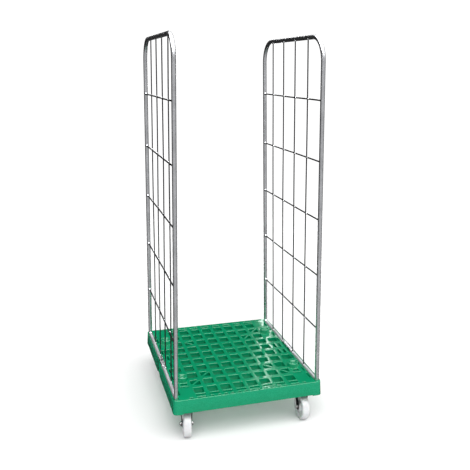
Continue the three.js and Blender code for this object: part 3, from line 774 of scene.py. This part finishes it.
def fork_width(x, z, axle_y, front, rear, head_z):
    """The sheet's front and rear edge at a point of the arch."""
    if z < WHEEL:
        reach = math.sqrt(max(0, EYE**2 - (WHEEL - z) ** 2))
        return axle_y - reach, axle_y + reach
    if z < FORK_BEND_START:
        t = (z - WHEEL) / 22
        return axle_y - EYE - 2 * t, axle_y + EYE + 4 * t
    t = min(1, (z - FORK_BEND_START) / (head_z - 10 - FORK_BEND_START))
    return axle_y - 17 + (front - axle_y + 17) * t, axle_y + 19 + (rear - axle_y - 19) * t


def build_fork(name, body, place, axle_y, front, rear, head_z, bend):
    """One strip of sheet steel bent over the wheel, its edges pressed inwards to stiffen it."""
    rings = []
    arch = fork_arch(head_z, bend)
    for i, (x, z) in enumerate(arch):
        y0, y1 = fork_width(x, z, axle_y, front, rear, head_z)
        ahead = Vector(arch[min(i + 1, len(arch) - 1)]) - Vector(arch[max(i - 1, 0)])
        inward = Vector((ahead.y, -ahead.x)).normalized()
        if inward.dot(Vector((-x, 90 - z))) < 0:
            inward.negate()
        press = 2.6 * max(0, min(1, (z - FORK_BEND_START) / 16))
        ring = []
        for t in (0, 0.04, 0.11, 0.3, 0.5, 0.7, 0.89, 0.96, 1):
            rim = max(0, 1 - min(t, 1 - t) / 0.1) ** 0.8
            ring.append((x + inward.x * press * rim, y0 + (y1 - y0) * t, z + inward.y * press * rim))
        rings.append(ring)
    shape = Shape().rings(rings, capped=False, around=False).moved(place)
    return shape.object(f"{name}_pressed_fork", ZINC, body, [f"{name}_fork"], sheet=2.8, smooth=1,
                        crease=60, finish=FORK_SHADED_FINISH)


def castor_plate(name, place, nodes):
    """A castor's top plate and its four bolts, seen from below as a hexagon on a flange."""
    loops = [rectangle(0, 0, *PLATE, 9, 5)]
    loops += [arc(x, y, 4.5, 0, math.tau * 15 / 16, 15) for x, y in PLATE_BOLTS]
    mesh = plate_mesh(loops, PLATE_LOW, PLATE_TOP, 0.5, Matrix.LocRotScale(
        place.translation * MM, place.to_quaternion(), None))
    as_piece(f"{name}_top_plate", mesh, ZINC, "deck_body", nodes, crease=60, flats=True)
    bolts = Shape()
    head = [(0.3, 0), (6.2, 0), (7.3, 0.8), (7.3, 5), (0.3, 5)]
    flange = [(0.3, 5), (8.8, 5), (9.1, 5.3), (9.1, 6.4), (0.3, 6.4)]
    for x, y in PLATE_BOLTS:
        turn = Matrix.Rotation(x + y, 4, "Z")
        spot = place @ Matrix.Translation((x, y, PLATE_LOW - 6.5)) @ turn
        bolts.turned(head, 6, spot)
        bolts.turned(flange, 24, spot)
    bolts.object(f"{name}_mounting_bolts", BOLT, "deck_body", bevel=0.3, crease=28)


def build_castors():
    for side, side_x in SIDES.items():
        name = f"front_{side}"
        place = Matrix.Translation((side_x * CASTOR_X, -CASTOR_Y, 0))
        turned = place @ Matrix.Rotation(FRONT_LEFT_TURN if side == "left" else 0, 4, "Z")
        castor_plate(name, place, [f"{name}_plate"])
        race = [(6.6, 142.4), (23, 142.4), (25.4, 142.8), (26.6, 144), (27.6, 146.6), (30.2, 147.4),
                (31, 148.4), (31, 151.4), (30.2, 152.4), (27.4, 153), (6.6, 153.7)]
        Shape().turned(race, 48, place).object(f"{name}_bearing_ring", ZINC, "deck_body",
                                               [f"{name}_ball_race"])
        pin = [(0.3, 132.8), (7.4, 132.9), (9.8, 134), (10.9, 136.4), (10.9, 138.6), (6, 138.7),
               (6, 156.6), (0.3, 156.6)]
        Shape().turned(pin, 32, place).object(f"{name}_king_bolt", BOLT, "deck_body",
                                              [f"{name}_kingpin"])
        swivel = f"{name}_swivel"
        build_fork(name, swivel, turned, -TRAIL, -35, 27, HEAD_TOP, 9)
        build_axle(name, swivel, turned, -TRAIL)
        build_wheel(name, f"{name}_wheel_body", turned, -TRAIL)

        name = f"rear_{side}"
        place = Matrix.Translation((side_x * CASTOR_X, CASTOR_Y, 0))
        build_fork(name, "deck_body", place, 0, -36, 36, PLATE_LOW + 1, 8)
        castor_plate(name, place, ())
        build_axle(name, "deck_body", place, 0)
        build_wheel(name, f"{name}_wheel_body", place, 0)


build_deck()
for side, side_x in SIDES.items():
    build_side(side, side_x)
build_castors()

# ---- Stage, light and camera -----------------------------------------------------------------


def plain(name, colour, roughness):
    material = bpy.data.materials.new(name)
    material.use_nodes = True
    surface = material.node_tree.nodes["Principled BSDF"]
    surface.inputs["Base Color"].default_value = (*colour, 1)
    surface.inputs["Roughness"].default_value = roughness
    surface.inputs["Specular IOR Level"].default_value = 0
    return material


def floor():
    mesh = bpy.data.meshes.new("floor")
    reach = FLOOR_REACH
    mesh.from_pydata([(-reach, -reach, 0), (reach, -reach, 0), (reach, reach, 0), (-reach, reach, 0)],
                     [], [(0, 1, 2, 3)])
    mesh.materials.append(plain("pale_floor", (0.9, 0.9, 0.9), 0.7))
    obj = bpy.data.objects.new("floor", mesh)
    bpy.context.scene.collection.objects.link(obj)
    obj.visible_glossy = False


def sun(name, azimuth, elevation, spread, power):
    """A large, distant softbox: azimuth from +Y towards +X, in degrees."""
    light = bpy.data.lights.new(name, "SUN")
    light.energy = power
    light.angle = math.radians(spread)
    obj = bpy.data.objects.new(name, light)
    across, rise = math.radians(azimuth), math.radians(elevation)
    way = Vector((math.sin(across) * math.cos(rise), math.cos(across) * math.cos(rise), math.sin(rise)))
    obj.rotation_euler = way.to_track_quat("Z", "Y").to_euler()
    bpy.context.scene.collection.objects.link(obj)


def softbox(name, place, target, width, height, power):
    light = bpy.data.lights.new(name, "AREA")
    light.shape = "RECTANGLE"
    light.size, light.size_y = width, height
    light.energy = power
    obj = bpy.data.objects.new(name, light)
    obj.location = place
    obj.rotation_euler = (Vector(target) - Vector(place)).to_track_quat("-Z", "Y").to_euler()
    obj.visible_camera = False
    bpy.context.scene.collection.objects.link(obj)


def studio():
    """White to the eye and to matt surfaces, darker in reflections towards the back."""
    world = bpy.data.worlds.new("studio")
    bpy.context.scene.world = world
    world.use_nodes = True
    nodes, links = world.node_tree.nodes, world.node_tree.links

    def maths(operation, first, second):
        node = nodes.new("ShaderNodeMath")
        node.operation = operation
        for value, socket in ((first, node.inputs[0]), (second, node.inputs[1])):
            if isinstance(value, bpy.types.NodeSocket):
                links.new(value, socket)
            else:
                socket.default_value = value
        return node.outputs[0]

    def ramp(value, from_low, from_high, to_low, to_high):
        node = nodes.new("ShaderNodeMapRange")
        links.new(value, node.inputs["Value"])
        node.inputs["From Min"].default_value = from_low
        node.inputs["From Max"].default_value = from_high
        node.inputs["To Min"].default_value = to_low
        node.inputs["To Max"].default_value = to_high
        return node.outputs[0]

    split = nodes.new("ShaderNodeSeparateXYZ")
    links.new(nodes.new("ShaderNodeTexCoord").outputs["Generated"], split.inputs[0])
    path = nodes.new("ShaderNodeLightPath")
    overhead = ramp(split.outputs["Z"], 0.6, 0.85, 0, MIRROR_TOP)
    front = ramp(split.outputs["Y"], 0.3, -0.6, MIRROR_BACK, MIRROR_FRONT)
    shown = maths("MULTIPLY", path.outputs["Is Camera Ray"], SEEN)
    mirror = maths("ADD", front, overhead)
    mirrored = maths("MULTIPLY", path.outputs["Is Glossy Ray"], mirror)
    other = maths("SUBTRACT", 1, maths("ADD", path.outputs["Is Camera Ray"],
                                       path.outputs["Is Glossy Ray"]))
    strength = maths("ADD", maths("ADD", shown, mirrored), maths("MULTIPLY", other, AMBIENT))
    links.new(strength, nodes["Background"].inputs["Strength"])
    nodes["Background"].inputs["Color"].default_value = (1, 1, 1, 1)


def camera():
    yaw, pitch, roll = CAMERA_YAW, CAMERA_PITCH, CAMERA_ROLL
    ahead = math.cos(pitch)
    forward = Vector((math.sin(yaw) * ahead, math.cos(yaw) * ahead, -math.sin(pitch)))
    level = Vector((math.cos(yaw), -math.sin(yaw), 0))
    rise = level.cross(forward)
    right = math.cos(roll) * level + math.sin(roll) * rise
    up = math.cos(roll) * rise - math.sin(roll) * level
    lens = bpy.data.cameras.new("camera")
    lens.sensor_width = SENSOR
    lens.lens = LENS
    obj = bpy.data.objects.new("camera", lens)
    bpy.context.scene.collection.objects.link(obj)
    turn = Matrix((right, up, -forward)).transposed()
    obj.matrix_world = Matrix.Translation(CAMERA_PLACE) @ turn.to_4x4()
    bpy.context.scene.camera = obj


floor()
sun("key", -165, 60, 50, 2.2)
sun("fill", 125, 45, 50, 0.8)
softbox("strip", (1.36, 3.2, 2.0), (0.25, 0, 0.2), 0.04, 1.5, 4)
studio()
camera()
bpy.context.scene.view_settings.view_transform = "Standard"
